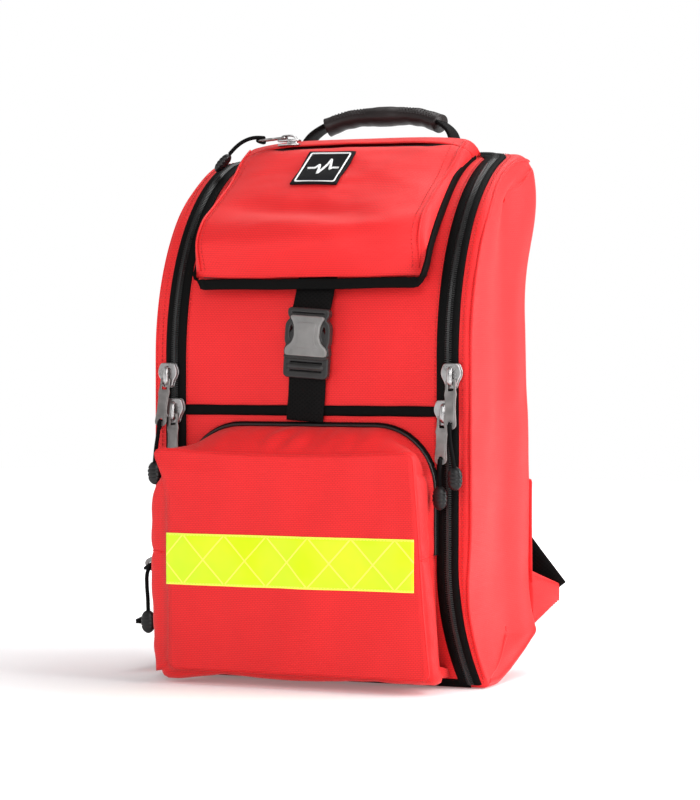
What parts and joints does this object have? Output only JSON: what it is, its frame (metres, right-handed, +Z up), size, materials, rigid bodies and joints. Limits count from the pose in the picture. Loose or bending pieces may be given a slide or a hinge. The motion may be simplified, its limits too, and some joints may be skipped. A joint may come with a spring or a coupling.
{
  "type": "trauma backpack",
  "caption": "Soft emergency backpack: clamshell front panel, bellows front pocket, lid pocket with a strap and buckle, carry handle and shoulder straps.",
  "frame": {"origin": "on the floor, inside the flat underside of the rear compartment, on its left-right middle line", "axes": "+X to the right as seen from the front, +Y towards the wearer's back, +Z up"},
  "size_m": [0.3959, 0.2889, 0.5745],
  "materials": {
    "red_fabric": "red coated polyester with a ribbed weave",
    "black_zip": "black woven zip tape with a nylon coil",
    "black_webbing": "black polypropylene webbing",
    "black_mesh": "black spacer mesh",
    "black_plastic": "moulded black acetal",
    "black_cord": "black round cord",
    "toggle_rubber": "soft black moulded grip",
    "grip_rubber": "black moulded rubber",
    "slider_metal": "plated zinc",
    "puller_metal": "satin gunmetal",
    "lime_tape": "lime prismatic retroreflective film",
    "patch_rubber": "black woven badge with a plain white mark",
    "board": "black polyethylene sheet"
  },
  "bodies": {
    "pack": {"rear_shell": "red_fabric", "zip_tape_outer": "black_zip", "back_stiffener": "board", "back_panel": "black_mesh", "back_pad_left": "black_mesh", "back_pad_right": "black_mesh", "lumbar_pad": "black_mesh", "shoulder_strap_left": "black_mesh", "shoulder_strap_right": "black_mesh", "strap_adjuster_left": "black_plastic", "strap_adjuster_right": "black_plastic", "strap_webbing_left": "black_webbing", "strap_webbing_right": "black_webbing", "strap_tab_left": "red_fabric", "strap_tab_right": "red_fabric", "strap_tail_left": "black_webbing"},
    "carry_handle": {"handle_webbing": "black_webbing", "handle_grip": "grip_rubber"},
    "front_panel": {"front_panel": "red_fabric", "zip_tape_inner": "black_zip", "band_binding": "black_webbing", "strap_webbing_lower": "black_webbing", "buckle_male": "black_plastic", "pocket_base": "red_fabric", "pocket_zip_tape": "black_zip", "reflective_tape": "lime_tape"},
    "pocket_cover": {"pocket_cover": "red_fabric"},
    "lid": {"lid_shell": "red_fabric", "lid_binding": "black_webbing", "lid_zip_tape": "black_zip", "lid_patch": "patch_rubber", "strap_webbing_upper": "black_webbing", "buckle_female": "black_plastic"},
    "buckle_prong_left": {"buckle_prong_left": "black_plastic"},
    "buckle_prong_right": {"buckle_prong_right": "black_plastic"},
    "slider_right_upper": {"zip_slider_right_upper": "slider_metal"},
    "puller_right_upper": {"zip_puller_right_upper": "puller_metal", "pull_cord_right_upper": "black_cord", "pull_toggle_right_upper": "toggle_rubber"},
    "slider_right_lower": {"zip_slider_right_lower": "slider_metal"},
    "puller_right_lower": {"zip_puller_right_lower": "puller_metal", "pull_cord_right_lower": "black_cord", "pull_toggle_right_lower": "toggle_rubber"},
    "slider_left_upper": {"zip_slider_left_upper": "slider_metal"},
    "puller_left_upper": {"zip_puller_left_upper": "puller_metal", "pull_cord_left_upper": "black_cord", "pull_toggle_left_upper": "toggle_rubber"},
    "slider_left_lower": {"zip_slider_left_lower": "slider_metal"},
    "puller_left_lower": {"zip_puller_left_lower": "puller_metal", "pull_cord_left_lower": "black_cord", "pull_toggle_left_lower": "toggle_rubber"},
    "slider_pocket": {"zip_slider_pocket": "slider_metal"},
    "puller_pocket": {"zip_puller_pocket": "puller_metal", "pull_cord_pocket": "black_cord", "pull_toggle_pocket": "toggle_rubber"},
    "slider_lid": {"zip_slider_lid": "slider_metal"},
    "puller_lid": {"zip_puller_lid": "puller_metal", "pull_cord_lid": "black_cord", "pull_toggle_lid": "toggle_rubber"}
  },
  "joints": [
    {"name": "front_panel_fold", "type": "hinge", "parent": "pack", "child": "front_panel", "pos_m": [0, -0.0668, 0.0035], "axis": [1, 0, 0], "range_deg": [0, 100]},
    {"name": "pocket_cover_fold", "type": "hinge", "parent": "front_panel", "child": "pocket_cover", "pos_m": [0, -0.145, 0.152], "axis": [1, 0, 0], "range_deg": [0, 70]},
    {"name": "lid_fold", "type": "hinge", "parent": "front_panel", "child": "lid", "pos_m": [0, 0.05, 0.523], "axis": [-1, 0, 0], "range_deg": [0, 80]},
    {"name": "handle_fold", "type": "hinge", "parent": "pack", "child": "carry_handle", "pos_m": [0, 0.079, 0.537], "axis": [-1, 0, 0], "range_deg": [0, 75]},
    {"name": "buckle_prong_left_squeeze", "type": "hinge", "parent": "front_panel", "child": "buckle_prong_left", "pos_m": [-0.01338, -0.1034, 0.32024], "axis": [0, 1, 0], "range_deg": [0, 8], "stiffness_Nm_per_rad": 0.3},
    {"name": "buckle_prong_right_squeeze", "type": "hinge", "parent": "front_panel", "child": "buckle_prong_right", "pos_m": [0.01655, -0.1034, 0.31815], "axis": [0, -1, 0], "range_deg": [0, 8], "stiffness_Nm_per_rad": 0.3},
    {"name": "zip_right_upper_slide", "type": "slide", "parent": "pack", "child": "slider_right_upper", "axis": [0, 0, 1], "range_m": [0, 0.03]},
    {"name": "zip_right_lower_slide", "type": "slide", "parent": "pack", "child": "slider_right_lower", "axis": [0, 0, -1], "range_m": [0, 0.11]},
    {"name": "puller_right_upper_lift", "type": "hinge", "parent": "slider_right_upper", "child": "puller_right_upper", "pos_m": [0.1508, -0.1048, 0.2955], "axis": [1, 0, 0], "range_deg": [-150, 0]},
    {"name": "puller_right_lower_lift", "type": "hinge", "parent": "slider_right_lower", "child": "puller_right_lower", "pos_m": [0.1425, -0.1048, 0.2605], "axis": [1, 0, 0], "range_deg": [-150, 0]},
    {"name": "zip_left_upper_slide", "type": "slide", "parent": "pack", "child": "slider_left_upper", "axis": [0, 0, 1], "range_m": [0, 0.03]},
    {"name": "zip_left_lower_slide", "type": "slide", "parent": "pack", "child": "slider_left_lower", "axis": [0, 0, -1], "range_m": [0, 0.05]},
    {"name": "puller_left_upper_lift", "type": "hinge", "parent": "slider_left_upper", "child": "puller_left_upper", "pos_m": [-0.1508, -0.1048, 0.2955], "axis": [1, 0, 0], "range_deg": [-150, 0]},
    {"name": "puller_left_lower_lift", "type": "hinge", "parent": "slider_left_lower", "child": "puller_left_lower", "pos_m": [-0.1425, -0.1048, 0.2605], "axis": [1, 0, 0], "range_deg": [-150, 0]},
    {"name": "zip_pocket_slide", "type": "slide", "parent": "front_panel", "child": "slider_pocket", "axis": [0, 0, 1], "range_m": [0, 0.03]},
    {"name": "puller_pocket_swing", "type": "hinge", "parent": "slider_pocket", "child": "puller_pocket", "pos_m": [-0.1453, -0.1048, 0.126], "axis": [-0.5269, 0, 0.8499], "range_deg": [0, 30]},
    {"name": "zip_lid_slide", "type": "slide", "parent": "lid", "child": "slider_lid", "axis": [1, 0, 0], "range_m": [0, 0.15], "deforming": ["pull_cord_lid", "pull_toggle_lid"]},
    {"name": "puller_lid_lift", "type": "hinge", "parent": "slider_lid", "child": "puller_lid", "pos_m": [-0.0745, 0.014, 0.541], "axis": [0, 1, 0], "range_deg": [0, 150]}
  ]
}
